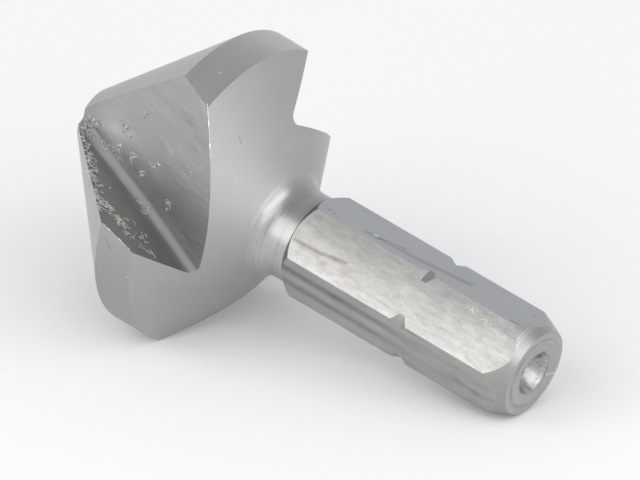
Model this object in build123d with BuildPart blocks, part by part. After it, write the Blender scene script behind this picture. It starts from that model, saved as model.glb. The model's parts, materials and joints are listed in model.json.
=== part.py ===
from build123d import *
from math import atan2, cos, degrees, hypot, radians, sin, tan
import os

# A countersink with three straight flutes, a 90 degree cone and a 1/4 inch hexagon bit shank.
# It is turned, milled and ground from one bar, so it is one solid.
#
# It is first made upright: the tool axis is Z, the cone's flanks would meet at the origin and the
# shank points up. Then it is laid down the way it comes to rest on a table: on the two back corners
# of one flute's mouth and on one corner of the shank's end.
# Lengths are in millimetres and angles in degrees. Heights are measured from where the cone's
# flanks would meet.

# Head
head_diameter = 20.5            # over the rim
point_angle = 90.0              # included angle of the cutting cone
point_flat_diameter = 3.9       # the cone's point is cut off square
rim_length = 2.7                # cylindrical band behind the cone
back_angle = 30.8               # slope of the back of the head, from square to the axis

# Neck
neck_diameter = 6.0
neck_fillet_radius = 1.8        # between the back of the head and the neck
neck_straight_length = 0.93
shoulder_angle = 42.0           # of the shoulder between the neck and the hexagon, from the axis
shoulder_bulge = 0.02           # how far the shoulder's side stands out from straight

# Hexagon shank, milled from a round bar that is larger than its corners
hex_sides = 6
hex_across_flats = 6.19
bar_diameter = 7.4
shank_length = 17.455           # from the neck to the end face
end_diameter = 5.76             # of the flat end face
end_chamfer_length = 1.88       # on the round bar
end_chamfer_bulge = 0.02        # how far the chamfer's side stands out from straight

# Notch turned into the hexagon's corners, for a spring ring
notch_to_end = 8.2              # from the middle of the notch to the end face
notch_width = 1.67              # on the round bar
notch_floor_width = 0.4
notch_depth = 0.38              # on the round bar
notch_side_bulge = 0.01         # how far the notch's sides stand out from straight

# Centre hole in the end face: a 60 degree seat for a grinder's centre, with a pilot hole under it
centre_hole_diameter = 2.87
centre_seat_angle = 60.0        # included angle
pilot_hole_diameter = 1.1
pilot_hole_depth = 2.9          # from the end face

# Flutes, ground by a dish wheel: its flat side leaves the wall under the cutting edge and its
# coned side leaves the heel wall. The wheel's edge runs along the root of the flute.
flute_count = 3
flute_index = 6.8               # turn of the flutes ahead of the middles of the hexagon's flats
root_height = 8.0               # where the place and the lean of the root are given
root_to_axis = 3.42
root_offset = -0.36             # sideways, from the plane through the axis
root_lean = 20.2                # away from the axis
rake_wall_angle = 48.8          # from the radius through the root to the wheel's flat side
flute_angle = 64.7              # between the flat side and the cone
flute_root_radius = 0.53
wheel_diameter = 150.0

# Radii, and heights along the axis
head_radius = head_diameter / 2
neck_radius = neck_diameter / 2
bar_radius = bar_diameter / 2
corner_radius = hex_across_flats / 2 / cos(radians(180 / hex_sides))
point_flat_radius = point_flat_diameter / 2
cone_slope = tan(radians(point_angle / 2))
back_slope = tan(radians(back_angle))
point_flat_z = point_flat_radius / cone_slope
rim_front_z = head_radius / cone_slope
rim_back_z = rim_front_z + rim_length
fillet_centre_radius = neck_radius + neck_fillet_radius
fillet_centre_z = (
    rim_back_z
    + (head_radius - fillet_centre_radius) * back_slope
    + neck_fillet_radius / cos(radians(back_angle))
)
neck_end_z = fillet_centre_z + neck_straight_length
shoulder_z = neck_end_z + (bar_radius - neck_radius) / tan(radians(shoulder_angle))
end_z = neck_end_z + shank_length
chamfer_z = end_z - end_chamfer_length
notch_z = end_z - notch_to_end
notch_start_z = notch_z - notch_width / 2
notch_end_z = notch_z + notch_width / 2
notch_floor_radius = bar_radius - notch_depth
seat_depth = (centre_hole_diameter - pilot_hole_diameter) / 2 / tan(radians(centre_seat_angle / 2))
seat_end_z = end_z - seat_depth

# The blank of the head and neck, as turned
with BuildPart() as head:
    with BuildSketch(Plane.XZ):
        with BuildLine():
            Polyline(
                (neck_radius, neck_end_z),
                (0, neck_end_z),
                (0, point_flat_z),
                (point_flat_radius, point_flat_z),
                (head_radius, rim_front_z),
                (head_radius, rim_back_z),
                (
                    fillet_centre_radius - neck_fillet_radius * sin(radians(back_angle)),
                    fillet_centre_z - neck_fillet_radius * cos(radians(back_angle)),
                ),
            )
            CenterArc(
                (fillet_centre_radius, fillet_centre_z),
                neck_fillet_radius,
                180,
                90 - back_angle,
            )
            Line((neck_radius, fillet_centre_z), (neck_radius, neck_end_z))
        make_face()
    revolve(axis=Axis.Z)

# The shank: a hexagon bar with its shoulder, notch, end chamfer and centre hole turned
with BuildPart() as shank:
    with BuildSketch(Plane.XZ):
        with BuildLine():
            SagittaArc((neck_radius, neck_end_z), (bar_radius, shoulder_z), -shoulder_bulge)
            Line((bar_radius, shoulder_z), (bar_radius, notch_start_z))
            SagittaArc(
                (bar_radius, notch_start_z),
                (notch_floor_radius, notch_z - notch_floor_width / 2),
                -notch_side_bulge,
            )
            Line(
                (notch_floor_radius, notch_z - notch_floor_width / 2),
                (notch_floor_radius, notch_z + notch_floor_width / 2),
            )
            SagittaArc(
                (notch_floor_radius, notch_z + notch_floor_width / 2),
                (bar_radius, notch_end_z),
                -notch_side_bulge,
            )
            Line((bar_radius, notch_end_z), (bar_radius, chamfer_z))
            SagittaArc((bar_radius, chamfer_z), (end_diameter / 2, end_z), -end_chamfer_bulge)
            Polyline(
                (end_diameter / 2, end_z),
                (centre_hole_diameter / 2, end_z),
                (pilot_hole_diameter / 2, seat_end_z),
                (pilot_hole_diameter / 2, end_z - pilot_hole_depth),
                (0, end_z - pilot_hole_depth),
                (0, neck_end_z),
                (neck_radius, neck_end_z),
            )
        make_face()
    revolve(axis=Axis.Z)
    with BuildSketch(Plane.XY.offset(neck_end_z)):
        RegularPolygon(
            hex_across_flats / 2,
            hex_sides,
            major_radius=False,
            rotation=180 / hex_sides - flute_index,
        )
    extrude(amount=end_z - neck_end_z, mode=Mode.INTERSECT)

# The dish wheel, standing in the first flute. Its section is drawn in the plane square to the
# flute's root, with the wheel's edge at the plane's origin and its flat side along the plane's X.
lean = radians(root_lean)
wall = radians(rake_wall_angle)
groove_plane = Plane(
    origin=(root_to_axis, root_offset, root_height),
    x_dir=(cos(wall) * cos(lean), -sin(wall), -cos(wall) * sin(lean)),
    z_dir=(sin(lean), 0, cos(lean)),
)
wheel_centre = groove_plane.from_local_coords(Vector(wheel_diameter / 2, 0))
flat_side_end = Vector(head_diameter, 0)
coned_side_end = flat_side_end.rotate(Axis.Z, -flute_angle)

with BuildPart() as dish_wheel:
    with BuildSketch(groove_plane):
        with BuildLine():
            FilletPolyline(flat_side_end, (0, 0), coned_side_end, radius=flute_root_radius)
            Line(coned_side_end, flat_side_end)
        make_face()
    revolve(axis=Axis(wheel_centre, groove_plane.y_dir))

# The whole tool, upright
with BuildPart() as upright_tool:
    add(head.part)
    add(shank.part)
    with PolarLocations(0, flute_count):
        add(dish_wheel.part, mode=Mode.SUBTRACT)

# The two ends of the first flute's mouth, on the back edge of the rim: the nearest corners there on
# either side of the direction in which the wheel stood
level = 0.001


def turn_from_wheel(corner):
    """The angle about the tool axis from the wheel to a corner, between -180 and 180."""
    turn = degrees(atan2(corner.Y, corner.X) - atan2(wheel_centre.Y, wheel_centre.X))
    return (turn + 180) % 360 - 180


rim_corners = upright_tool.vertices().filter_by_position(
    Axis.Z, rim_back_z - level, rim_back_z + level
)
rake_corner = Vector(min((c for c in rim_corners if turn_from_wheel(c) > 0), key=turn_from_wheel))
heel_corner = Vector(max((c for c in rim_corners if turn_from_wheel(c) < 0), key=turn_from_wheel))

# The lowest of the hexagon's corners, where the end chamfer starts
shank_corners = [
    Vector(corner)
    for corner in upright_tool.vertices().filter_by_position(Axis.Z, notch_z, end_z)
    if hypot(corner.X, corner.Y) > corner_radius - level
]
shank_corner = max(shank_corners, key=(rake_corner + heel_corner).dot)

# Laid down on those three, with the middle of its box over the origin
table = Plane(
    origin=shank_corner,
    x_dir=(0, 0, 1),
    z_dir=(rake_corner - shank_corner).cross(heel_corner - shank_corner),
)
lying_tool = table.to_local_coords(upright_tool.part)
lying_box = lying_tool.bounding_box()

with BuildPart() as countersink_bit:
    with Locations((-lying_box.center().X, -lying_box.center().Y, -lying_box.min.Z)):
        add(lying_tool)
countersink_bit.part.label = "countersink_bit"

os.makedirs("parts", exist_ok=True)
export_step(countersink_bit.part, "parts/countersink_bit.step")
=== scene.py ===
import json

import bmesh
import bpy
import numpy as np
from mathutils import Matrix, Vector


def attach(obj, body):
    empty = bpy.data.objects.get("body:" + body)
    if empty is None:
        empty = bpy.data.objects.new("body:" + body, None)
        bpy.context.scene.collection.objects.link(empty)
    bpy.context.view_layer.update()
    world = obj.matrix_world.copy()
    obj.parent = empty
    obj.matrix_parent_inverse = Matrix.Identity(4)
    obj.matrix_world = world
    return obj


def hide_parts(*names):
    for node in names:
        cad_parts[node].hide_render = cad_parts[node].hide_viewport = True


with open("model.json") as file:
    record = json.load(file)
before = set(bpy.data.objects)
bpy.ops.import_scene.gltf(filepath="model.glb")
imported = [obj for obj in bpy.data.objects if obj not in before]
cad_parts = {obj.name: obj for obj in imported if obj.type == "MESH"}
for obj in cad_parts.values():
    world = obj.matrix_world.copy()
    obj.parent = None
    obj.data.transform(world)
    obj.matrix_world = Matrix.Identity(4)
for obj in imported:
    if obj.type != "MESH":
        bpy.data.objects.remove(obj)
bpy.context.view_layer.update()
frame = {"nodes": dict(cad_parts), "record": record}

MM = 0.001

# Sizes of the tool that its surfaces are told apart by, in millimetres, and angles in radians.
# Heights run along the tool axis from the place where the cone's flanks would meet.
POINT_HEIGHT = 1.95
HEAD_RADIUS = 10.25
RIM_BACK = 12.95
BACK_SLOPE = np.tan(np.radians(30.8))
NECK_END = 19.224
SHOULDER_END = 20.002
CHAMFER_START = 34.799
END_HEIGHT = 36.679
HALF_FLATS = 3.095
SEAT_RADIUS = 1.435
WHEEL_RADIUS = 75.0
FLUTE_ANGLE = np.radians(64.7)
ROOT_FILLET = 0.53
ROOT_LEAN = np.radians(20.2)
RAKE_WALL = np.radians(48.8)
FLUTES = 3
HEX_STEP = np.pi / 3

# The tool's own axes, from the record: the shank's axis, and one hexagon flat that faces upwards.
# The flats are numbered round the axis from that one.
mounts = {m["name"]: m for m in frame["record"]["mounts"]}
UPPER_FLAT_AZIMUTH = np.radians(113.2)
TOP_FLAT, FRONT_FLAT, LOWER_FLAT = 0, 1, 2
tool_z = np.array(mounts["hex_shank"]["axis"])
upper_flat = np.array(mounts["shank_flat"]["axis"])
level = np.cross(tool_z, upper_flat)
tool_x = np.cos(UPPER_FLAT_AZIMUTH) * upper_flat - np.sin(UPPER_FLAT_AZIMUTH) * level
tool_y = np.sin(UPPER_FLAT_AZIMUTH) * upper_flat + np.cos(UPPER_FLAT_AZIMUTH) * level
TOOL_AXES = np.array([tool_x, tool_y, tool_z])
TOOL_ORIGIN = np.array(mounts["hex_shank"]["pos_m"]) - END_HEIGHT * MM * tool_z

# The plane square to the first flute's root: its origin, the direction of the grinding wheel's flat
# side, the direction across it, and the direction along the root.
ROOT = np.array([3.42, -0.36, 8.0])
RAKE_DIRECTION = np.array([
    np.cos(RAKE_WALL) * np.cos(ROOT_LEAN), -np.sin(RAKE_WALL),
    -np.cos(RAKE_WALL) * np.sin(ROOT_LEAN),
])
ROOT_DIRECTION = np.array([np.sin(ROOT_LEAN), 0, np.cos(ROOT_LEAN)])
RAKE_NORMAL = np.cross(ROOT_DIRECTION, RAKE_DIRECTION)


def in_tool(points):
    """Points of the row frame, in metres, as millimetres along the tool's own axes: subtract the
    tool's origin, then take the dot product with each axis."""
    return (points - TOOL_ORIGIN) @ TOOL_AXES.T / MM


def in_row(points):
    """The other way round: the sum of the axes, each times its coordinate, plus the origin."""
    return points * MM @ TOOL_AXES + TOOL_ORIGIN


def turned_by(points, flute):
    """Points turned about the tool axis from the first flute to another one."""
    angle = np.asarray(flute) * 2 * np.pi / FLUTES
    c, s = np.cos(angle), np.sin(angle)
    x, y, z = points.T
    return np.stack([x * c - y * s, x * s + y * c, z], 1)


def back_height(r):
    """The height of the back of the head at a radius."""
    return RIM_BACK + (HEAD_RADIUS - r) * BACK_SLOPE


def put_in_scene(name, data):
    """A new object with the given data, linked to the scene."""
    thing = bpy.data.objects.new(name, data)
    bpy.context.scene.collection.objects.link(thing)
    return thing


# ---------------------------------------------------------------- finishes


class Finish:
    """The nodes of one steel finish, each made by a short call that returns its output. place is
    the point in the tool's own axes, in millimetres, and radius its distance from the tool axis."""

    def __init__(self, name, roughness):
        self.material = bpy.data.materials.new(name)
        self.material.use_nodes = True
        self.nodes = self.material.node_tree.nodes
        self.links = self.material.node_tree.links
        self.shader = self.nodes["Principled BSDF"]
        self.shader.inputs["Metallic"].default_value = 1.0
        self.shader.inputs["Roughness"].default_value = roughness
        place = self.add(
            "ShaderNodeMapping",
            Vector=self.add("ShaderNodeTexCoord").outputs["Object"],
            Location=tuple(-(TOOL_AXES @ TOOL_ORIGIN) / MM),
            Rotation=tuple(Matrix(TOOL_AXES.tolist()).to_euler("XYZ")),
            Scale=(1 / MM, 1 / MM, 1 / MM),
        )
        self.place = place.outputs[0]
        parts = self.add("ShaderNodeSeparateXYZ", Vector=self.place)
        self.x, self.y, self.z = parts.outputs
        self.radius = self.length(self.vector(self.x, self.y, 0.0))

    def add(self, kind, **inputs):
        """A node with its named inputs set or linked."""
        node = self.nodes.new(kind)
        for name, value in inputs.items():
            self.feed(node.inputs[name], value)
        return node

    def feed(self, socket, value):
        """Links a socket to another one, or sets it to a constant."""
        if isinstance(value, bpy.types.NodeSocket):
            self.links.new(value, socket)
        else:
            socket.default_value = value

    def operate(self, kind, operation, values, output=0):
        node = self.nodes.new(kind)
        node.operation = operation
        for socket, value in zip(node.inputs, values):
            self.feed(socket, value)
        return node.outputs[output]

    def math(self, operation, *values):
        return self.operate("ShaderNodeMath", operation, values)

    def vector_math(self, operation, *values):
        return self.operate("ShaderNodeVectorMath", operation, values)

    def length(self, vector):
        return self.operate("ShaderNodeVectorMath", "LENGTH", (vector,), "Value")

    def dot(self, a, b):
        return self.operate("ShaderNodeVectorMath", "DOT_PRODUCT", (a, b), "Value")

    def vector(self, x, y, z):
        return self.add("ShaderNodeCombineXYZ", X=x, Y=y, Z=z).outputs[0]

    def stretched(self, x, y, z):
        """The place, with each of its coordinates times a number."""
        return self.vector_math("MULTIPLY", self.place, (x, y, z))

    def round_the_axis(self, along, around, fine):
        """Coordinates that are stretched into rings: the unit vector from the axis times around,
        and a height times fine."""
        return self.vector(
            self.product(self.math("DIVIDE", self.x, self.radius), around),
            self.product(self.math("DIVIDE", self.y, self.radius), around),
            self.product(along, fine),
        )

    def noise(self, vector, scale=1.0, detail=3.0, rough=0.55, distortion=0.0):
        return self.add(
            "ShaderNodeTexNoise", Vector=vector, Scale=scale, Detail=detail, Roughness=rough,
            Distortion=distortion,
        ).outputs["Fac"]

    def range(self, value, low, high, to_low=0.0, to_high=1.0, smooth=True):
        """Goes from to_low to to_high while the value goes from low to high, and stays there."""
        node = self.nodes.new("ShaderNodeMapRange")
        node.interpolation_type = "SMOOTHSTEP" if smooth else "LINEAR"
        for socket, number in zip(node.inputs, (value, low, high, to_low, to_high)):
            self.feed(socket, number)
        return node.outputs[0]

    def band(self, value, middle, inside, outside, full=1.0):
        """full where the value is within inside of the middle, falling to 0 at outside from it."""
        off = self.math("ABSOLUTE", self.math("SUBTRACT", value, middle))
        return self.range(off, inside, outside, full, 0.0)

    def curve(self, value, *points):
        """A number that runs smoothly through the given (value, result) points. The ramp holds the
        results as shares of the largest one."""
        low, high = points[0][0], points[-1][0]
        most = max(result for _, result in points)
        ramp = self.add("ShaderNodeValToRGB", Fac=self.range(value, low, high, smooth=False))
        keys = ramp.color_ramp.elements
        keys[0].position, keys[0].color = 0.0, (points[0][1] / most,) * 3 + (1,)
        keys[1].position, keys[1].color = 1.0, (points[-1][1] / most,) * 3 + (1,)
        for at, result in points[1:-1]:
            keys.new((at - low) / (high - low)).color = (result / most,) * 3 + (1,)
        ramp.color_ramp.interpolation = "CARDINAL"
        return self.product(ramp.outputs["Color"], most)

    def spot(self, centre, size):
        """1 in the middle of a soft egg-shaped patch and 0 outside it: the distance from its
        centre, with each axis divided by its size."""
        away = self.vector_math("SUBTRACT", self.place, centre)
        size = size if isinstance(size, tuple) else (size,) * 3
        reach = self.length(self.vector_math("DIVIDE", away, size))
        return self.range(reach, 0.0, 1.0, 1.0, 0.0)

    def stroke(self, start, end, width):
        """1 on the line from start to end, falling to 0 at width from it: the length of what is
        left of the way from the start after its part along the line is taken off."""
        start, along = np.array(start), np.array(end) - np.array(start)
        away = self.vector_math("SUBTRACT", self.place, tuple(start))
        share = self.dot(away, tuple(along / (along @ along)))
        share = self.math("MINIMUM", self.math("MAXIMUM", share, 0.0), 1.0)
        on_line = self.vector_math("MULTIPLY", self.vector(share, share, share), tuple(along))
        off_line = self.vector_math("SUBTRACT", away, on_line)
        return self.range(self.length(off_line), 0.0, width, 1.0, 0.0)

    def most(self, *masks):
        """The largest of the masks."""
        result = masks[0]
        for mask in masks[1:]:
            result = self.math("MAXIMUM", result, mask)
        return result

    def product(self, *values):
        result = values[0]
        for value in values[1:]:
            result = self.math("MULTIPLY", result, value)
        return result

    def fade(self, mask, to):
        """1 where the mask is 0, and the given number where it is 1."""
        return self.math("MULTIPLY_ADD", mask, to - 1.0, 1.0)

    def mix(self, amount, a, b):
        """Colour a where the amount is 0, and b where it is 1."""
        node = self.nodes.new("ShaderNodeMix")
        node.data_type = "RGBA"
        for socket, value in ((0, amount), (6, a), (7, b)):
            self.feed(node.inputs[socket], value)
        return node.outputs[2]

    def shade(self, grey, tint=(1, 1, 1)):
        """A grey, from a number or a socket, as a colour with a tint."""
        node = self.nodes.new("ShaderNodeVectorMath")
        node.operation = "SCALE"
        node.inputs[0].default_value = tint
        self.feed(node.inputs["Scale"], grey)
        return node.outputs[0]

    def bump(self, height, depth_mm):
        """Raises the surface by height times a depth in millimetres, on top of earlier bumps."""
        node = self.add("ShaderNodeBump", Height=height, Distance=depth_mm * MM)
        if self.shader.inputs["Normal"].is_linked:
            before = self.shader.inputs["Normal"].links[0].from_socket
            self.links.new(before, node.inputs["Normal"])
        self.links.new(node.outputs[0], self.shader.inputs["Normal"])

    def colour(self, socket):
        self.feed(self.shader.inputs["Base Color"], socket)

    def roughness(self, socket):
        self.feed(self.shader.inputs["Roughness"], socket)


STEEL = 0.425
WARM = (1.0, 0.995, 0.97)
COOL = (0.985, 0.995, 1.01)
BROWN = (1.0, 0.90, 0.78)
OILY = (1.0, 0.99, 0.94)


def turned(name, grey, roughness, along, lines=9.0, depth=0.0015, tint=(1, 1, 1), marks=None):
    """Turned or cylinder-ground steel: fine rings about the tool axis, and cloudy satin. along
    gives the coordinate that the rings lie across, and marks a further shade, both from the finish
    itself."""
    f = Finish(name, roughness)
    rings = f.noise(f.round_the_axis(along(f), 1.2, lines), detail=4, rough=0.7)
    cloud = f.noise(f.place, scale=0.45, detail=3)
    tone = f.math("MULTIPLY_ADD", rings, 0.16, f.math("MULTIPLY_ADD", cloud, 0.10, 0.87))
    if marks:
        tone = f.product(tone, marks(f))
    f.colour(f.shade(f.product(tone, grey), tint))
    f.roughness(f.math("MULTIPLY_ADD", rings, 0.16, roughness - 0.08))
    f.bump(rings, depth)
    return f


def painted_light_by_height(f, below, above, low, high):
    """Painted light and shade: a shade that goes from low to high between two heights over the tool
    axis, square to it, as the tool lies, lighter or darker by how the light falls on that side."""
    up = tuple((TOOL_AXES @ (0, 0, 1)) * (1, 1, 0))
    return f.range(f.dot(f.place, up), below, above, low, high)


def way_round(f):
    """The angle about the tool axis from the side that faces the front flat, in radians."""
    return f.math("ARCTAN2", f.y, f.product(f.x, -1.0))


def back_painted_light_and_scratches(f):
    """Painted light and shade, brighter in the middle of the near side and darker round the far
    sides, with a few small scratches.
    """
    # Painted light and shade by the angle round the axis
    sides = f.curve(
        way_round(f), (-1.6, 0.99), (-1.0, 0.93), (-0.4, 1.04), (0.05, 1.16), (0.4, 1.0),
        (1.1, 0.92), (1.9, 0.86),
    )
    scratches = f.most(
        f.stroke((-6.60, 3.74, 14.50), (-6.34, 3.42, 14.78), 0.09),
        f.stroke((-3.10, 5.60, 15.10), (-3.00, 5.20, 15.35), 0.08),
        f.spot((-7.60, -2.10, 14.15), 0.12),
    )
    return f.product(sides, f.fade(scratches, 0.72))


def neck_painted_light_and_rings(f):
    """Two painted highlight streaks, one on the fillet with painted shade round it and one on the
    neck, fine turning rings, and painted light that makes the lower side lighter.
    """
    # Painted highlights, and painted shade round the upper one
    upper_painted_highlight = f.stroke((-3.54, 0.34, 17.0), (-2.76, 1.83, 17.27), 0.34)
    streaks = f.most(upper_painted_highlight, f.stroke((-2.98, -0.35, 17.9), (-2.80, -1.15, 18.4), 0.42))
    painted_shade_round_highlight = f.product(f.spot((-3.2, 1.1, 17.1), 1.5), f.fade(upper_painted_highlight, 0.0))
    rings = f.noise(f.round_the_axis(f.z, 0.5, 5.0), detail=3, rough=0.7)
    return f.product(
        f.fade(streaks, 1.04), f.fade(painted_shade_round_highlight, 0.76),
        f.curve(rings, (0.3, 0.84), (0.5, 0.96), (0.7, 1.04)),
        # Painted light: the lower side lighter
        f.curve(way_round(f), (-1.6, 1.14), (-0.6, 1.14), (0.0, 1.0), (1.9, 0.98)),
    )


def rim_painted_light_and_nicks(f):
    """Painted shade, darker on the underside, with a few small dark nicks and two painted
    highlights.
    """
    nicks = f.most(
        f.spot((-7.34, 7.14, 10.99), (0.16, 0.16, 0.08)),
        f.spot((-6.83, 7.64, 12.56), (0.18, 0.18, 0.09)),
        f.stroke((-8.50, -5.74, 10.8), (-8.16, -6.20, 11.3), 0.13),
    )
    # Two painted highlights
    painted_glints = f.most(f.spot((-7.80, 6.65, 11.85), 0.15), f.spot((-7.31, -7.18, 12.86), 0.15))
    # Painted shade on the underside, from the height as the tool lies
    return f.product(
        painted_light_by_height(f, -5.2, 8.8, 0.82, 1.08), f.fade(nicks, 0.78), f.fade(painted_glints, 1.7)
    )


def chamfer_painted_light(f):
    """Painted light and shade by side, and painted highlights along two turning grooves near the
    flats, over part of the way round.
    """
    around = way_round(f)
    part = f.curve(around, (0.0, 0.0), (0.3, 1.0), (0.85, 1.0), (1.1, 0.0))
    # Painted highlights along two turning grooves
    grooves = f.most(f.band(f.z, 35.88, 0.02, 0.07), f.band(f.z, 36.06, 0.02, 0.06))
    # Painted light and shade by the angle round the axis
    sides = f.curve(
        around, (-1.3, 0.80), (-0.7, 0.82), (0.0, 0.88), (0.5, 0.95), (0.95, 0.86), (1.5, 0.90)
    )
    return f.product(sides, f.fade(f.product(part, grooves), 1.28))


def end_marks(f):
    """An uneven turned ring near the chamfer, dirt round the centre hole, a bright scratch, dark
    nicks, and painted light that makes the lower side lighter."""
    patchy = f.curve(f.noise(f.place, scale=1.1, detail=4, rough=0.7), (0.35, 0.1), (0.6, 1.0))
    part = f.curve(way_round(f), (-2.6, 0.2), (-1.2, 0.8), (0.9, 1.0), (2.2, 0.2))
    ring = f.product(f.band(f.radius, 2.34, 0.03, 0.24), part, patchy)
    lip = f.product(f.range(f.radius, SEAT_RADIUS, SEAT_RADIUS + 0.16, 1.0, 0.0), patchy)
    nicks = f.most(
        f.spot((-1.45, -0.20, END_HEIGHT), (0.25, 0.14, 0.3)),
        f.spot((1.30, 0.53, END_HEIGHT), 0.26),
        f.spot((1.42, 0.14, END_HEIGHT), 0.24),
        f.spot((-0.10, 1.46, END_HEIGHT), 0.14),
    )
    scratch = f.stroke((1.66, 0.19, END_HEIGHT), (2.74, 0.51, END_HEIGHT), 0.10)
    cloud = f.noise(f.round_the_axis(f.radius, 0.6, 2.6), detail=5, rough=0.7)
    return f.product(
        f.fade(ring, 0.62), f.fade(lip, 0.5), f.fade(nicks, 0.22), f.fade(scratch, 1.6),
        # Painted light: the lower side lighter
        painted_light_by_height(f, -2.4, 2.0, 1.18, 1.08), f.curve(cloud, (0.3, 0.84), (0.5, 1.0), (0.7, 1.08)),
    )


def seat_marks(f):
    """Chatter and dried dirt, and painted light that makes the upper part lighter."""
    mottle = f.noise(f.stretched(2.2, 2.2, 3.2), detail=6, rough=0.75, distortion=0.5)
    dirt = f.noise(f.stretched(3.0, 3.0, 1.4), detail=3, rough=0.6)
    return f.product(
        f.curve(mottle, (0.3, 0.72), (0.5, 1.0), (0.7, 1.18)),
        f.curve(dirt, (0.58, 1.0), (0.68, 0.45)),
        # Painted light: the upper part lighter
        painted_light_by_height(f, -0.3, 0.9, 1.0, 1.35),
    )


cone_land = turned("ground_cone", STEEL, 0.36, lambda f: f.radius, lines=7)
rim_land = turned("ground_rim", STEEL, 0.36, lambda f: f.z, lines=7, marks=rim_painted_light_and_nicks)
back = turned(
    "turned_back", 0.445, 0.40, lambda f: f.radius, lines=6, tint=WARM, marks=back_painted_light_and_scratches
)
neck = turned("turned_neck", 0.41, 0.34, lambda f: f.z, lines=6, depth=0.004, marks=neck_painted_light_and_rings)
notch = turned("turned_notch", 0.36, 0.5, lambda f: f.z, lines=8)
end_chamfer = turned(
    "turned_end_chamfer", 0.43, 0.36, lambda f: f.z, lines=9, tint=WARM, marks=chamfer_painted_light
)
end_face = turned(
    "faced_end", 0.40, 0.38, lambda f: f.radius, lines=6, tint=WARM, marks=end_marks
)
centre_seat = turned(
    "centre_seat", 0.395, 0.36, lambda f: f.z, lines=4, tint=WARM, marks=seat_marks
)


def ground_flute():
    """Ground steel with long uneven marks, and painted light and shade: a darker rake wall, a
    bright band and painted shade on the root, a painted highlight on the heel wall, and painted
    shade towards the point. across runs from the rake wall, where it is negative, over the root to
    the heel wall; on the heel wall the marks slant away from the root."""
    f = Finish("ground_flute", 0.44)
    marks = f.nodes.new("ShaderNodeUVMap")
    marks.uv_map = "grinding_marks"
    uv = f.add("ShaderNodeSeparateXYZ", Vector=marks.outputs[0])
    along, across = uv.outputs[0], uv.outputs[1]
    slant = f.math("SUBTRACT", across, f.product(along, 0.16))
    lines = f.noise(
        f.vector(f.product(along, 0.42), f.product(slant, 6.5), 0.0),
        detail=5, rough=0.72, distortion=0.12,
    )
    broad = f.noise(f.vector(f.product(along, 0.16), f.product(slant, 1.2), 7.0), detail=2)
    # Painted light and shade across the flute: the rake wall darker, a bright band beside the root,
    # and painted shade over the root's own highlight
    wall = f.curve(
        across, (-6.0, 0.47), (-1.4, 0.53), (-0.9, 0.84), (-0.5, 1.16), (-0.1, 1.0), (0.3, 0.54),
        (0.7, 1.02), (1.2, 1.14), (2.6, 1.14), (3.6, 1.06), (9.0, 1.04),
    )
    # Painted highlight: the heel wall is painted brightest along a line that leaves the root behind
    # towards the back
    reach = f.math("DIVIDE", across, f.math("MULTIPLY_ADD", along, 0.33, 2.8))
    heel = f.curve(
        reach, (0.2, 1.0), (0.55, 1.20), (0.95, 1.52), (1.3, 1.36), (1.8, 1.0), (3.2, 0.90)
    )
    how_much = f.product(f.range(across, 0.4, 1.0), f.range(along, -5.6, -2.8, 0.1, 1.0))
    heel = f.math("MULTIPLY_ADD", how_much, f.math("SUBTRACT", heel, 1.0), 1.0)
    patches = f.curve(f.noise(f.place, scale=0.7, detail=3), (0.38, 0.25), (0.62, 1.3))
    uneven = f.product(
        f.range(across, -0.6, 1.2, 0.25, 1.0), f.range(along, -5.0, 4.0, 0.35, 1.25), patches
    )
    scratched = f.math("MULTIPLY_ADD", lines, 0.9, f.math("MULTIPLY_ADD", broad, 0.35, -0.625))
    scratched = f.math("MULTIPLY_ADD", scratched, uneven, 1.0)
    # Painted shade: darker towards the point, over the tip's highlight
    near_point = f.range(along, -6.4, -3.6, 0.72, 1.0)
    tone = f.product(wall, heel, scratched, near_point, STEEL)
    on_rake = f.range(across, -1.1, -0.5, 1.0, 0.0)
    f.colour(f.mix(on_rake, f.shade(tone), f.shade(tone, OILY)))
    f.roughness(f.math("MULTIPLY_ADD", lines, 0.16, 0.38))
    f.bump(lines, 0.003)
    return f


flute_wall = ground_flute()


def drawn_flat(name, grey, roughness, marks=None, stains=None, tint=(1, 1, 1)):
    """Cold-drawn hexagon steel: streaks along the bar and a fine pitted skin. From the finish
    itself, marks gives a further shade, and stains how far the steel is covered in brown."""
    f = Finish(name, roughness)
    streaks = f.noise(f.stretched(2.6, 2.6, 0.16), detail=4, rough=0.6)
    pits = f.noise(f.stretched(7.0, 7.0, 5.0), detail=4, rough=0.65)
    tone = f.math("MULTIPLY_ADD", streaks, 0.22, f.math("MULTIPLY_ADD", pits, 0.14, 0.82))
    if marks:
        tone = f.product(tone, marks(f))
    steel = f.shade(f.product(tone, grey), tint)
    if stains:
        steel = f.mix(stains(f), steel, f.shade(f.product(tone, grey * 0.86), BROWN))
    f.colour(steel)
    f.roughness(f.math("MULTIPLY_ADD", pits, 0.2, roughness - 0.1))
    f.bump(streaks, 0.008)
    f.bump(pits, 0.003)
    return f


def across_flat(f, number):
    """The distance across one of the hexagon's flats, from its middle."""
    azimuth = UPPER_FLAT_AZIMUTH + number * HEX_STEP
    return f.dot(f.place, (-np.sin(azimuth), np.cos(azimuth), 0.0))


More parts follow.
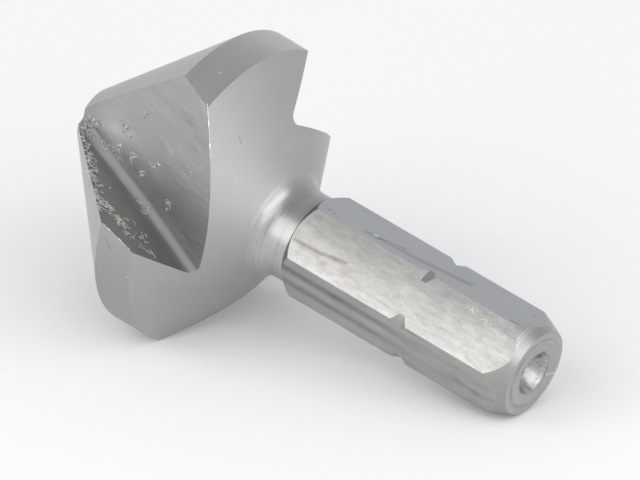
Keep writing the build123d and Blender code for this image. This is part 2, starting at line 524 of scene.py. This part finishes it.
def top_marks(f):
    """A soft dark line beside the front flat, a dented spot shown as painted shade with a painted
    highlight, a scratch and a few dark specks.
    """
    line = f.most(
        f.stroke((-2.20, 2.42, 23.2), (-1.90, 2.55, 27.2), 0.36),
        f.stroke((-1.90, 2.55, 27.2), (-1.32, 2.80, 30.6), 0.46),
    )
    # A dented spot shown as painted shade, with a painted highlight beside it
    dent_painted_shade = f.spot((-2.16, 2.44, 24.0), (0.34, 0.34, 0.44))
    dent_painted_highlight = f.spot((-2.06, 2.47, 23.84), 0.30)
    scratch = f.most(
        f.stroke((-2.06, 2.48, 24.17), (-1.90, 2.55, 24.6), 0.09),
        f.stroke((-1.90, 2.55, 24.6), (-1.72, 2.63, 25.2), 0.07),
        f.stroke((-1.72, 2.63, 25.2), (-1.62, 2.67, 25.9), 0.09),
    )
    specks = f.most(
        f.spot((-2.16, 2.44, 20.23), (0.12, 0.12, 0.24)),
        f.spot((-2.28, 2.39, 20.72), (0.12, 0.12, 0.20)),
        f.spot((-0.61, 3.11, 35.09), (0.26, 0.12, 0.12)),
        f.stroke((-2.62, 2.25, 34.80), (-2.56, 2.27, 35.35), 0.13),
    )
    return f.product(
        f.fade(line, 0.74), f.fade(dent_painted_shade, 0.62), f.fade(dent_painted_highlight, 2.1), f.fade(scratch, 0.52),
        f.fade(specks, 0.50),
    )


def front_marks(f):
    """A pale scaly skin with a painted reflection, greyer towards the upper corner, with streaks
    and a rolled-in dark line at the neck end, painted highlight specks, and a chain of bright
    specks at the other end."""
    across = across_flat(f, FRONT_FLAT)
    # Painted reflection: greyer towards the upper corner, lighter towards the lower edge
    painted_reflection_across = f.curve(across, (-1.8, 0.60), (-0.9, 0.70), (-0.1, 0.88), (0.9, 0.96), (1.8, 1.08))
    scale = f.noise(f.stretched(2.8, 2.8, 1.1), detail=6, rough=0.7, distortion=0.25)
    skin = f.curve(scale, (0.30, 0.88), (0.5, 1.02), (0.70, 1.15))
    near_neck = f.curve(f.z, (20.0, 1.0), (24.0, 1.0), (27.0, 0.0))
    upper_half = f.curve(across, (-0.6, 1.0), (0.3, 0.0))
    line = f.most(
        f.stroke((-3.14, -0.16, 19.6), (-3.13, -0.14, 21.45), 0.22),
        f.stroke((-3.13, -0.14, 21.45), (-3.10, 0.17, 23.4), 0.20),
    )
    streaks = f.most(
        f.stroke((-3.25, -1.10, 33.6), (-3.28, -1.30, 34.9), 0.16),
        f.stroke((-3.20, -0.80, 25.0), (-3.20, -0.86, 28.6), 0.12),
    )
    # Painted highlight specks in the skin
    painted_glints = f.curve(f.noise(f.place, scale=5.0, detail=2), (0.60, 0.0), (0.72, 1.0))
    chain = f.most(
        f.stroke((-2.91, 1.69, 32.0), (-2.96, 1.35, 33.9), 0.36),
        f.stroke((-2.96, 1.35, 33.9), (-2.99, 1.10, 35.1), 0.30),
    )
    flecks = f.curve(f.noise(f.place, scale=9.0, detail=2), (0.50, 0.0), (0.62, 1.0))
    toward_end = f.range(f.z, 30.0, 34.0, 1.0, 1.08)
    return f.product(
        painted_reflection_across, skin, toward_end, f.fade(f.product(near_neck, upper_half), 0.94), f.fade(line, 0.66),
        f.fade(streaks, 0.84), f.fade(painted_glints, 1.12), f.fade(f.product(chain, flecks), 1.45),
    )


def front_stains(f):
    """Brown stains beside the rolled-in line, and a thin film in patches."""
    patches = f.most(
        f.spot((-3.16, -0.30, 20.4), (0.5, 0.44, 0.80)),
        f.spot((-3.18, -0.26, 21.45), (0.5, 0.50, 1.00)),
        f.spot((-3.19, -0.60, 22.07), (0.5, 0.40, 0.60)),
        f.spot((-3.18, -0.45, 23.58), (0.5, 0.44, 0.80)),
        f.spot((-3.10, 0.05, 22.6), (0.5, 0.30, 1.80)),
    )
    ragged = f.curve(f.noise(f.place, scale=2.4, detail=5, rough=0.7), (0.34, 0.05), (0.52, 1.0))
    cloud = f.noise(f.stretched(0.9, 0.9, 0.35), detail=5, rough=0.6)
    film = f.curve(cloud, (0.46, 0.0), (0.64, 0.26))
    return f.most(f.product(patches, ragged, 0.9), film)


def lower_marks(f):
    """Darker streaks along the bar that fade out towards the shank's end, and two worn patches
    there.
    """
    across = across_flat(f, LOWER_FLAT)
    near_neck = f.curve(f.z, (20.0, 1.0), (25.0, 0.9), (31.0, 0.15))
    streaks = f.most(
        f.band(across, -0.71, 0.05, 0.50), f.band(across, 0.53, 0.05, 0.44, full=0.8)
    )
    cloud = f.noise(f.stretched(1.3, 1.3, 0.36), detail=5, rough=0.6, distortion=0.6)
    worn = f.most(
        f.spot((-1.60, -2.66, 33.2), (0.5, 0.5, 1.1)), f.spot((-1.42, -2.80, 34.5), (0.5, 0.5, 0.7))
    )
    return f.product(
        f.fade(f.product(near_neck, streaks), 0.58), f.fade(worn, 0.80),
        f.curve(cloud, (0.3, 0.86), (0.5, 1.0), (0.7, 1.10)),
    )


# The top flat's steel is painted lighter and the low flat's darker than the front flat's: painted
# light and shade on the sides of the bar, by how the light falls
plain_flat = drawn_flat("drawn_flat", STEEL, 0.42)
top_flat = drawn_flat("drawn_top_flat", 0.445, 0.42, marks=top_marks, tint=COOL)
front_flat = drawn_flat(
    "drawn_front_flat", STEEL, 0.42, marks=front_marks, stains=front_stains, tint=WARM
)
low_flat = drawn_flat("drawn_low_flat", 0.40, 0.38, marks=lower_marks, tint=WARM)

FINISHES = [
    cone_land, rim_land, back, neck, notch, end_chamfer, end_face, centre_seat, flute_wall,
    plain_flat, top_flat, front_flat, low_flat,
]


# ---------------------------------------------------------------- the steel

# How far, in millimetres, the middles of a surface's triangles may lie from the surface
CONE_SAG, RIM_SAG, BACK_SAG, FLAT_SAG, FACE_SAG = 0.12, 0.06, 0.05, 0.01, 0.01

# The least cosine between a normal and the direction that its surface faces: for a surface square
# to that direction, for a hexagon flat, for the cone (towards the point and outwards, each 0.71),
# and for the back (towards the shank, 0.86)
SQUARE_ON, FLAT_ON, CONE_FACING, BACK_FACING = 0.99, 0.999, 0.65, 0.8

# The corners of the CAD surface that are nearer than this, in metres, are one
JOINED = 2e-7

# The bevel's width along the shank's edges, in millimetres, and the other edges' share of it
BROKEN_EDGE, OTHER_EDGES = 0.08, 0.35

# The bend over which an edge inside one finish is sharp
SHARP_BEND = np.radians(35)


def finish_of_faces(centre, normal):
    """For each face, its finish's number, from the face's middle and normal in the tool's axes."""
    x, y, z = centre.T
    normal_x, normal_y, normal_z = normal.T
    r = np.hypot(x, y)
    outward = (normal_x * x + normal_y * y) / np.maximum(r, 1e-9)
    number = {finish: i for i, finish in enumerate(FINISHES)}
    found = np.full(len(r), number[flute_wall])
    faces_cone = (outward > CONE_FACING) & (normal_z < -CONE_FACING)
    on_cone = (np.abs(r - z) < CONE_SAG) & faces_cone
    on_point = (z < POINT_HEIGHT + FACE_SAG) & (normal_z < -SQUARE_ON)
    found[on_cone | on_point] = number[cone_land]
    on_rim = (r > HEAD_RADIUS - RIM_SAG) & (outward > SQUARE_ON) & (z < RIM_BACK)
    found[on_rim] = number[rim_land]
    off_back = z - back_height(r)
    on_back = (z > RIM_BACK - FACE_SAG) & (np.abs(off_back) < BACK_SAG) & (normal_z > BACK_FACING)
    found[on_back] = number[back]
    behind = (off_back > -2 * FACE_SAG) & (z > RIM_BACK) & (z < SHOULDER_END) & (r < HEAD_RADIUS)
    found[behind & ~on_back] = number[neck]
    shank = z > NECK_END
    facet = np.round((np.arctan2(normal_y, normal_x) - UPPER_FLAT_AZIMUTH) / HEX_STEP)
    facet_x = np.cos(UPPER_FLAT_AZIMUTH + facet * HEX_STEP)
    facet_y = np.sin(UPPER_FLAT_AZIMUTH + facet * HEX_STEP)
    from_axis = x * facet_x + y * facet_y
    faces_out = normal_x * facet_x + normal_y * facet_y > FLAT_ON
    on_flat = shank & (np.abs(from_axis - HALF_FLATS) < FLAT_SAG) & faces_out
    found[shank & ~on_flat & (z > SHOULDER_END) & (z < CHAMFER_START)] = number[notch]
    found[on_flat] = number[plain_flat]
    for finish, which in ((top_flat, TOP_FLAT), (front_flat, FRONT_FLAT), (low_flat, LOWER_FLAT)):
        found[on_flat & (facet % 6 == which)] = number[finish]
    found[shank & ~on_flat & (z > CHAMFER_START) & (r > SEAT_RADIUS)] = number[end_chamfer]
    found[shank & (normal_z > SQUARE_ON)] = number[end_face]
    found[shank & (r < SEAT_RADIUS) & (normal_z < SQUARE_ON)] = number[centre_seat]
    return found


def grinding_marks(points, centre):
    """For each corner of a flute's faces, how far it lies along and across the grinding marks:
    turned back into the first flute, the angle round the wheel's axis times the wheel's radius
    gives the distance along. (1 + cos a) / sin a times the distance off the wheel's flat side, less
    the depth in from the wheel's edge, a being the flute's angle, runs evenly from the rake wall
    over the root to the heel wall."""
    azimuth = np.arctan2(centre[:, 1], centre[:, 0])
    turn = np.round((azimuth + np.pi / FLUTES) / (2 * np.pi / FLUTES))
    q = turned_by(points, -turn) - ROOT
    inward, off_side, along = q @ RAKE_DIRECTION, -q @ RAKE_NORMAL, q @ ROOT_DIRECTION
    depth = WHEEL_RADIUS - np.hypot(WHEEL_RADIUS - inward, along)
    round_wheel = np.arctan2(along, WHEEL_RADIUS - inward) * WHEEL_RADIUS
    evenly = (1 + np.cos(FLUTE_ANGLE)) / np.sin(FLUTE_ANGLE)
    return np.stack([round_wheel, off_side * evenly - depth], 1)


def steel_bit():
    """The whole tool: the CAD surface with its triangles joined, its sharp edges broken by a fine
    bevel, and a finish for each machined surface."""
    mesh = frame["nodes"]["countersink_bit"].data.copy()
    mesh.name = "ground_countersink"
    bm = bmesh.new()
    bm.from_mesh(mesh)
    bmesh.ops.remove_doubles(bm, verts=bm.verts, dist=JOINED)
    bm.to_mesh(mesh)
    bm.free()
    for left_over in ("custom_normal", "sharp_edge"):
        if left_over in mesh.attributes:
            mesh.attributes.remove(mesh.attributes[left_over])
    mesh.materials.clear()
    for finish in FINISHES:
        mesh.materials.append(finish.material)
    count, loops = len(mesh.polygons), len(mesh.loops)
    centre, normal = np.empty(count * 3), np.empty(count * 3)
    mesh.polygons.foreach_get("center", centre)
    mesh.polygons.foreach_get("normal", normal)
    centre = in_tool(centre.reshape(-1, 3))
    normal = normal.reshape(-1, 3) @ TOOL_AXES.T
    finish = finish_of_faces(centre, normal)
    mesh.polygons.foreach_set("material_index", finish.astype(np.int32))
    mesh.polygons.foreach_set("use_smooth", np.ones(count, bool))

    points = np.empty(len(mesh.vertices) * 3)
    mesh.vertices.foreach_get("co", points)
    vertex_of, edge_of = np.empty(loops, np.int32), np.empty(loops, np.int32)
    sides = np.empty(count, np.int32)
    mesh.loops.foreach_get("vertex_index", vertex_of)
    mesh.loops.foreach_get("edge_index", edge_of)
    mesh.polygons.foreach_get("loop_total", sides)
    face_of = np.repeat(np.arange(count), sides)
    uv = grinding_marks(in_tool(points.reshape(-1, 3))[vertex_of], centre[face_of])
    mesh.uv_layers.new(name="grinding_marks").uv.foreach_set("vector", uv.ravel())

    # Each edge has two faces. It is sharp where they meet at an angle or differ in finish, but for
    # the back, which runs on into the neck.
    pairs = face_of[np.argsort(edge_of, kind="stable")].reshape(-1, 2)
    one, other = finish[pairs].T
    bend = np.sum(normal[pairs[:, 0]] * normal[pairs[:, 1]], axis=1)
    turned_round = [FINISHES.index(back), FINISHES.index(neck)]
    runs_on = np.isin(one, turned_round) & np.isin(other, turned_round)
    sharp = ((one != other) & ~runs_on) | (bend < np.cos(SHARP_BEND))
    first_flat = FINISHES.index(plain_flat)
    along_bar = sharp & (one >= first_flat) & (other >= first_flat)
    mesh.attributes.new("sharp_edge", "BOOLEAN", "EDGE").data.foreach_set("value", sharp)
    width = np.where(along_bar, 1.0, np.where(sharp, OTHER_EDGES, 0.0)).astype(np.float32)
    mesh.attributes.new("bevel_weight_edge", "FLOAT", "EDGE").data.foreach_set("value", width)

    bit = put_in_scene("ground_countersink", mesh)
    edges = bit.modifiers.new("broken_edges", "BEVEL")
    edges.width, edges.segments = BROKEN_EDGE * MM, 2
    edges.limit_method = "WEIGHT"
    edges.harden_normals = True
    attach(bit, "root")
    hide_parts("countersink_bit")


steel_bit()


# ---------------------------------------------------------------- swarf


def on_flute(flute, along, across):
    """Points in a flute and the directions out of its wall there. In the section through the
    wheel's axis, across is the distance out along the rake wall (negative) or the heel wall
    (positive) from where they would meet, and on the rounded root it turns evenly by the angle psi
    round the fillet's centre. That gives the depth in from the wheel's edge and the way to the side
    of its flat face. The section is then turned about the wheel's axis by the angle phi, which is
    along over the wheel's radius."""
    reach = ROOT_FILLET / np.tan(FLUTE_ANGLE / 2)
    psi = np.pi / 2 + (across + reach) / (2 * reach) * (np.pi - FLUTE_ANGLE)
    rake, heel = across < -reach, across > reach
    root_depth = reach + ROOT_FILLET * np.cos(psi)
    root_side = ROOT_FILLET * (np.sin(psi) - 1)
    depth = np.where(rake, -across, np.where(heel, across * np.cos(FLUTE_ANGLE), root_depth))
    side = np.where(rake, 0.0, np.where(heel, -across * np.sin(FLUTE_ANGLE), root_side))
    out_depth = np.where(rake, 0.0, np.where(heel, np.sin(FLUTE_ANGLE), -np.cos(psi)))
    out_side = np.where(rake, -1.0, np.where(heel, np.cos(FLUTE_ANGLE), -np.sin(psi)))
    phi = along / WHEEL_RADIUS
    to_centre = np.cos(phi)[:, None] * RAKE_DIRECTION - np.sin(phi)[:, None] * ROOT_DIRECTION
    points = (
        ROOT
        + WHEEL_RADIUS * RAKE_DIRECTION
        + (depth - WHEEL_RADIUS)[:, None] * to_centre
        + side[:, None] * RAKE_NORMAL
    )
    outward = out_depth[:, None] * to_centre + out_side[:, None] * RAKE_NORMAL
    return turned_by(points, flute), turned_by(outward, flute)


def grid_on_flute(along, across):
    """The radius and the height about the tool axis at each crossing of a grid on the first flute:
    a row for each along, and a column for each across."""
    rows, columns = np.meshgrid(along, across, indexing="ij")
    points, _ = on_flute(0, rows.ravel(), columns.ravel())
    r = np.hypot(points[:, 0], points[:, 1])
    return r.reshape(rows.shape), points[:, 2].reshape(rows.shape)


def cutting_edge(along):
    """How far out on the rake wall the cutting edge lies: the first place there where the radius
    from the tool axis is over the height, which is the cone, or over the rim's."""
    out = np.linspace(0.3, 8.0, 400)
    r, z = grid_on_flute(along, -out)
    return out[np.argmax((r > z) | (r > HEAD_RADIUS), axis=1)]


def heel_edge(across):
    """How far along the flute the heel wall meets the back of the head: the first place there
    whose height is over the back's."""
    along = np.linspace(0, 12, 600)
    r, z = grid_on_flute(along, across)
    return along[np.argmax(z > back_height(r), axis=0)]


def rod_faces(rings, sides):
    """The faces of a rod whose points are its rings' corners one after the other: the walls between
    each ring and the next, and the two ends."""
    i, j = np.meshgrid(np.arange(rings - 1), np.arange(sides), indexing="ij")
    a, b = i * sides + j, i * sides + (j + 1) % sides
    walls = np.stack([a, a + sides, b + sides, b], -1).reshape(-1, 4)
    first, last = np.arange(sides), (rings - 1) * sides + np.arange(sides)
    return np.vstack([walls, first, last[::-1]])


def thread(turns, pitch, thick, steps=9, sides=4):
    """One curl: its middle line is a spiral of radius 1 - s / 4 that goes round turns times while
    it rises by pitch, for s from 0 to 1. Its section is a diamond, 1.8 times as high as wide, that
    thins out as 0.3 + 0.7 sin(pi s). Returns its points and its faces."""
    s = np.linspace(0, 1, steps + 1)
    angle = 2 * np.pi * turns * s
    radius = 1 - s / 4
    middle = np.stack([radius * np.cos(angle), radius * np.sin(angle), pitch * s], 1)
    out = np.stack([np.cos(angle), np.sin(angle), 0 * s], 1)
    up = np.array([0.0, 0.0, 1.0])
    round_it = np.linspace(0, 2 * np.pi, sides, endpoint=False)
    half = thick * (0.3 + 0.7 * np.sin(np.pi * s))
    ring = (
        np.cos(round_it)[None, :, None] * out[:, None, :]
        + 1.8 * np.sin(round_it)[None, :, None] * up
    )
    points = (middle[:, None, :] + half[:, None, None] * ring).reshape(-1, 3)
    return points - points.mean(0), rod_faces(steps + 1, sides)


def swarf_piece(name, points, faces, material):
    """A mesh of the tool's steel that lies on it, from points in the tool's axes."""
    mesh = bpy.data.meshes.new(name)
    mesh.from_pydata(in_row(points).tolist(), [], faces.tolist())
    mesh.polygons.foreach_set("use_smooth", np.ones(len(faces), bool))
    mesh.materials.append(material)
    piece = put_in_scene(name, mesh)
    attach(piece, "root")


def strewn(name, material, shapes, places, outward, size, rng, lift, tilt):
    """Many small pieces in one mesh. Each is one of the shapes, turned at random about the
    direction out of the steel, tilted by up to tilt radians, scaled to its size, and set at lift
    over its place."""
    count = len(places)
    places = places + outward * lift
    which = rng.integers(0, len(shapes), count)
    aside = np.cross(outward, rng.normal(size=(count, 3)))
    aside /= np.linalg.norm(aside, axis=1, keepdims=True)
    ahead = np.cross(outward, aside)
    angle = rng.uniform(-tilt, tilt, count)[:, None]
    up = np.cos(angle) * outward + np.sin(angle) * aside
    aside = np.cos(angle) * aside - np.sin(angle) * outward
    turns = np.stack([aside, ahead, up], 1)
    points, faces, offset = [], [], 0
    for k, (shape, quads) in enumerate(shapes):
        mine = which == k
        moved = np.einsum("pi,nij->npj", shape, turns[mine]) * size[mine, None, None]
        points.append((moved + places[mine, None, :]).reshape(-1, 3))
        starts = offset + np.arange(mine.sum()) * len(shape)
        faces.append((quads[None] + starts[:, None, None]).reshape(-1, 4))
        offset += mine.sum() * len(shape)
    swarf_piece(name, np.vstack(points), np.vstack(faces), material)


def burr(name, places, thick, material):
    """A raised edge along the places: a rod whose section is a square on its corner, with
    half-diagonal thick (0.35 + 0.65 sin^2(7 s) sin^2(16 s + 1)), for s from 0 to 1."""
    s = np.linspace(0, 1, len(places))
    half = thick * (0.35 + 0.65 * np.sin(7 * s) ** 2 * np.sin(16 * s + 1) ** 2)
    ahead = np.gradient(places, axis=0)
    aside = np.cross(ahead, places)
    up = np.cross(aside, ahead)
    aside /= np.linalg.norm(aside, axis=1, keepdims=True)
    up /= np.linalg.norm(up, axis=1, keepdims=True)
    turn = np.linspace(0, 2 * np.pi, 4, endpoint=False)[None, :, None]
    ring = np.cos(turn) * aside[:, None, :] + np.sin(turn) * up[:, None, :]
    points = (places[:, None, :] + half[:, None, None] * ring).reshape(-1, 3)
    swarf_piece(name, points, rod_faces(len(places), 4), material)


def chip_steel(name, colour, roughness):
    """Bare steel of one colour."""
    material = bpy.data.materials.new(name)
    material.use_nodes = True
    shader = material.node_tree.nodes["Principled BSDF"]
    shader.inputs["Base Color"].default_value = (*colour, 1)
    shader.inputs["Metallic"].default_value = 1.0
    shader.inputs["Roughness"].default_value = roughness
    return material


CURLS = [
    thread(0.85, 0.3, 0.09), thread(0.6, 0.5, 0.10), thread(1.2, 0.9, 0.09),
    thread(0.3, 0.2, 0.09),
]
CRUMBS = [thread(0.18, 0.1, 0.30, steps=3), thread(0.3, 0.4, 0.34, steps=3)]
LONG_THREADS = [thread(0.16, 0.2, 0.018), thread(0.3, 0.3, 0.024)]
RING = [thread(0.92, 0.2, 0.055, steps=14)]

NEAR_FLUTE = 2

# The band of curls behind the near cutting edge: how many, from where to where along the flute, how
# far they spread from the edge, and how near they come to it and to the root
BAND_COUNT, BAND_ALONG, BAND_SPREAD = 180, (-6.2, 3.0), 0.42
BAND_TO_EDGE, BAND_TO_ROOT = 0.04, 0.2

# The curls in the other flutes: how many, and from where to where along and across
STRAY_COUNT, STRAY_ALONG, STRAY_ACROSS = 60, (-4.5, 5.0), (-3.0, 3.0)

# Crumbs round the curls: how many, and how far they spread from them
CRUMB_COUNT, CRUMB_SPREAD = 320, 0.14

# The radii of the curls, from least to largest and the factors by which they vary, and the crumbs'
CURL_RADII, CURL_FACTORS, CRUMB_RADII = (0.08, 0.19), (0.8, 1.0, 1.35), (0.04, 0.11)

# How near a piece may lie to the cone, to the rim and to the back of the head
TO_CONE, TO_RIM, TO_BACK = 0.05, 0.35, 0.25

# Clusters of loose curls in the near flute: along and across the flute, their spread, and how many
CLUSTERS = np.array([
    (-5.6, 1.0, 0.22, 8), (-4.9, 1.3, 0.25, 7), (-5.2, -0.1, 0.22, 9), (-5.9, 0.1, 0.20, 8),
    (-3.8, 0.6, 0.18, 6), (-3.1, 1.1, 0.16, 3), (-2.7, 1.4, 0.14, 4), (-2.5, 0.8, 0.14, 4),
    (-2.7, 3.1, 0.16, 6), (-2.1, 3.1, 0.12, 3), (-1.2, 1.8, 0.16, 6), (0.0, 1.9, 0.16, 4),
    (0.1, 1.4, 0.14, 4), (0.6, 2.9, 0.12, 4), (1.1, 3.4, 0.10, 3), (-1.5, 5.5, 0.10, 3),
    (3.2, 1.9, 0.24, 8), (1.1, -0.4, 0.20, 8), (1.7, -0.1, 0.16, 6), (2.2, -4.4, 0.24, 16),
    (3.2, -4.3, 0.26, 20), (3.9, -4.4, 0.26, 20), (3.4, -3.5, 0.20, 6), (5.0, -4.4, 0.18, 6),
    (4.9, -3.3, 0.30, 6), (6.3, -3.9, 0.16, 2), (4.5, 5.7, 0.10, 2), (5.0, 6.7, 0.10, 2),
])

# Longer threads: along and across the flute, and the radius that each is curled to
LONG_SITES = np.array([
    (6.4, -3.7, 0.9), (6.8, -3.3, 1.0), (6.1, -3.9, 0.6), (5.0, -3.2, 0.5), (4.8, -3.6, 0.5),
    (5.2, -4.2, 0.5), (3.3, -3.2, 0.5), (3.6, -2.9, 0.4), (3.2, 1.9, 0.5), (3.3, 2.1, 0.45),
    (3.0, 1.7, 0.45), (3.5, 1.9, 0.4), (-3.0, 0.9, 0.5), (-2.6, 1.3, 0.5), (-2.2, 0.8, 0.4),
    (-1.1, 1.8, 0.45), (0.1, 1.9, 0.4), (0.7, 2.9, 0.4), (-4.6, 1.2, 0.4), (-5.2, 1.0, 0.4),
    (-2.9, -2.0, 0.4), (-1.8, -2.6, 0.4), (2.0, -0.6, 0.36), (1.9, -0.9, 0.36), (-4.2, 4.2, 0.3),
])

# The chip curled into a ring: where it lies along and across the flute, and its radius
RING_SITE = np.array([(2.0, -0.75, 0.33)])

# The burrs: between the near heel wall and the back of the head, from where to where across, and
# at the near rake wall's edge, from where to where along the flute and how far inside the edge
HEEL_BURR_ACROSS = np.linspace(7.9, 10.9, 60)
RAKE_BURR_ALONG, RAKE_BURR_INSIDE = np.linspace(4.4, 6.8, 60), 0.09


def on_the_wall(places):
    """Which places lie well inside the head: closer to the axis than the cone and the rim, and in
    front of the back."""
    r, z = np.hypot(places[:, 0], places[:, 1]), places[:, 2]
    return (r < z - TO_CONE) & (r < HEAD_RADIUS - TO_RIM) & (z < back_height(r) - TO_BACK)


def curl_sites(rng):
    """Where the loose curls lie: in the band behind the near cutting edge, in the near flute's
    clusters, and in the other flutes. Returns each one's flute, and its place along and across."""
    along = rng.uniform(*BAND_ALONG, BAND_COUNT)
    off_edge = np.abs(rng.normal(0.0, BAND_SPREAD, BAND_COUNT)) + BAND_TO_EDGE
    across = np.minimum(off_edge - cutting_edge(along), -BAND_TO_ROOT)
    count = CLUSTERS[:, 3].astype(int)
    loose = np.repeat(CLUSTERS[:, :2], count, axis=0)
    loose = loose + rng.normal(size=loose.shape) * np.repeat(CLUSTERS[:, 2], count)[:, None]
    along = np.concatenate([along, loose[:, 0], rng.uniform(*STRAY_ALONG, STRAY_COUNT)])
    across = np.concatenate([across, loose[:, 1], rng.uniform(*STRAY_ACROSS, STRAY_COUNT)])
    flutes = np.full(along.size, NEAR_FLUTE)
    flutes[-STRAY_COUNT:] = rng.integers(0, NEAR_FLUTE, STRAY_COUNT)
    return flutes, along, across


def swarf():
    """The loose steel on the tool: curls, crumbs and threads in the flutes, a chip curled into a
    ring, and burrs along two edges."""
    fresh = chip_steel("fresh_chip_steel", (0.72, 0.715, 0.69), 0.34)
    # The burrs are real; their steel is painted near white, brighter than the tool's, as a painted
    # glint
    painted_glint_steel = chip_steel("burr_painted_glint_steel", (0.95, 0.95, 0.94), 0.22)
    oily = chip_steel("oily_chip_steel", (0.26, 0.25, 0.22), 0.5)
    rng = np.random.default_rng(7)

    flutes, along, across = curl_sites(rng)
    places, outward = on_flute(flutes, along, across)
    size = rng.uniform(*CURL_RADII, along.size) * rng.choice(CURL_FACTORS, along.size)
    keep = on_the_wall(places)
    places, outward, size = places[keep], outward[keep], size[keep]
    strewn("curled_swarf", fresh, CURLS, places, outward, size, rng, lift=0.04, tilt=0.6)

    pick = rng.choice(np.flatnonzero(keep), CRUMB_COUNT)
    scatter = rng.normal(size=(2, CRUMB_COUNT)) * CRUMB_SPREAD
    places, outward = on_flute(flutes[pick], along[pick] + scatter[0], across[pick] + scatter[1])
    keep = on_the_wall(places)
    places, outward = places[keep], outward[keep]
    size = rng.uniform(*CRUMB_RADII, len(places))
    oiled = np.arange(len(places)) < len(places) // 2
    for name, material, some in (("oily_crumbs", oily, oiled), ("fresh_crumbs", fresh, ~oiled)):
        strewn(
            name, material, CRUMBS, places[some], outward[some], size[some], rng,
            lift=0.02, tilt=0.9,
        )

    for name, shapes, sites, lift in (
        ("long_threads", LONG_THREADS, LONG_SITES, 0.05), ("ring_chip", RING, RING_SITE, 0.06),
    ):
        places, outward = on_flute(NEAR_FLUTE, sites[:, 0], sites[:, 1])
        strewn(name, fresh, shapes, places, outward, sites[:, 2], rng, lift=lift, tilt=0.3)

    places, _ = on_flute(NEAR_FLUTE, heel_edge(HEEL_BURR_ACROSS), HEEL_BURR_ACROSS)
    burr("heel_burr", places, 0.046, painted_glint_steel)
    across = RAKE_BURR_INSIDE - cutting_edge(RAKE_BURR_ALONG)
    places, _ = on_flute(NEAR_FLUTE, RAKE_BURR_ALONG, across)
    burr("rake_burr", places, 0.045, painted_glint_steel)


swarf()


# ---------------------------------------------------------------- table, lights and camera


def soft_box(name, azimuth, elevation, distance, width, height, radiance):
    """A rectangular soft box of warm white that faces the tool from a direction in degrees."""
    a, e = np.radians(azimuth), np.radians(elevation)
    direction = Vector((np.cos(a) * np.cos(e), np.sin(a) * np.cos(e), np.sin(e)))
    light = bpy.data.lights.new(name, "AREA")
    light.shape = "RECTANGLE"
    light.size, light.size_y = width, height
    light.color = (1, 0.99, 0.965)
    light.energy = radiance * np.pi * width * height
    box = put_in_scene(name, light)
    box.location = direction * distance
    box.rotation_euler = direction.to_track_quat("Z", "Y").to_euler()


soft_box("key_soft_box", -108, 34, distance=0.5, width=0.56, height=0.44, radiance=1.475)
soft_box("front_soft_box", -14, 28, distance=0.6, width=0.70, height=0.60, radiance=1.59)


def light_tent():
    """A tent round the table: brighter at the horizon than overhead."""
    world = bpy.data.worlds.new("light_tent")
    world.use_nodes = True
    nodes, links = world.node_tree.nodes, world.node_tree.links
    direction = nodes.new("ShaderNodeTexCoord")
    parts = nodes.new("ShaderNodeSeparateXYZ")
    ramp = nodes.new("ShaderNodeValToRGB")
    links.new(direction.outputs["Generated"], parts.inputs[0])
    links.new(parts.outputs["Z"], ramp.inputs[0])
    links.new(ramp.outputs[0], nodes["Background"].inputs["Color"])
    horizon, overhead = ramp.color_ramp.elements
    horizon.position, horizon.color = 0.0, (0.94, 0.965, 0.99, 1)
    overhead.position, overhead.color = 0.95, (0.565, 0.578, 0.59, 1)
    bpy.context.scene.world = world


light_tent()


def table_top():
    """A wide, pale, matt board."""
    mesh = bpy.data.meshes.new("table_top")
    mesh.from_pydata([(-4, -4, 0), (4, -4, 0), (4, 4, 0), (-4, 4, 0)], [], [(0, 1, 2, 3)])
    board = bpy.data.materials.new("pale_board")
    board.use_nodes = True
    shader = board.node_tree.nodes["Principled BSDF"]
    shader.inputs["Base Color"].default_value = (0.9, 0.9, 0.9, 1)
    shader.inputs["Roughness"].default_value = 0.9
    shader.inputs["Specular IOR Level"].default_value = 0.1
    mesh.materials.append(board)
    put_in_scene("table_top", mesh)


table_top()


def add_camera():
    """A long lens that looks down on the tool from the shank's side."""
    camera = bpy.data.cameras.new("camera")
    camera.lens = 488.24
    camera.sensor_width = 36
    camera.clip_start, camera.clip_end = 0.01, 20
    eye = put_in_scene("camera", camera)
    eye.location = (0.291730, -0.388752, 0.240684)
    eye.rotation_euler = np.radians((64.35509, 0.65045, 36.52877))
    bpy.context.scene.camera = eye


add_camera()
bpy.context.scene.view_settings.view_transform = "Standard"
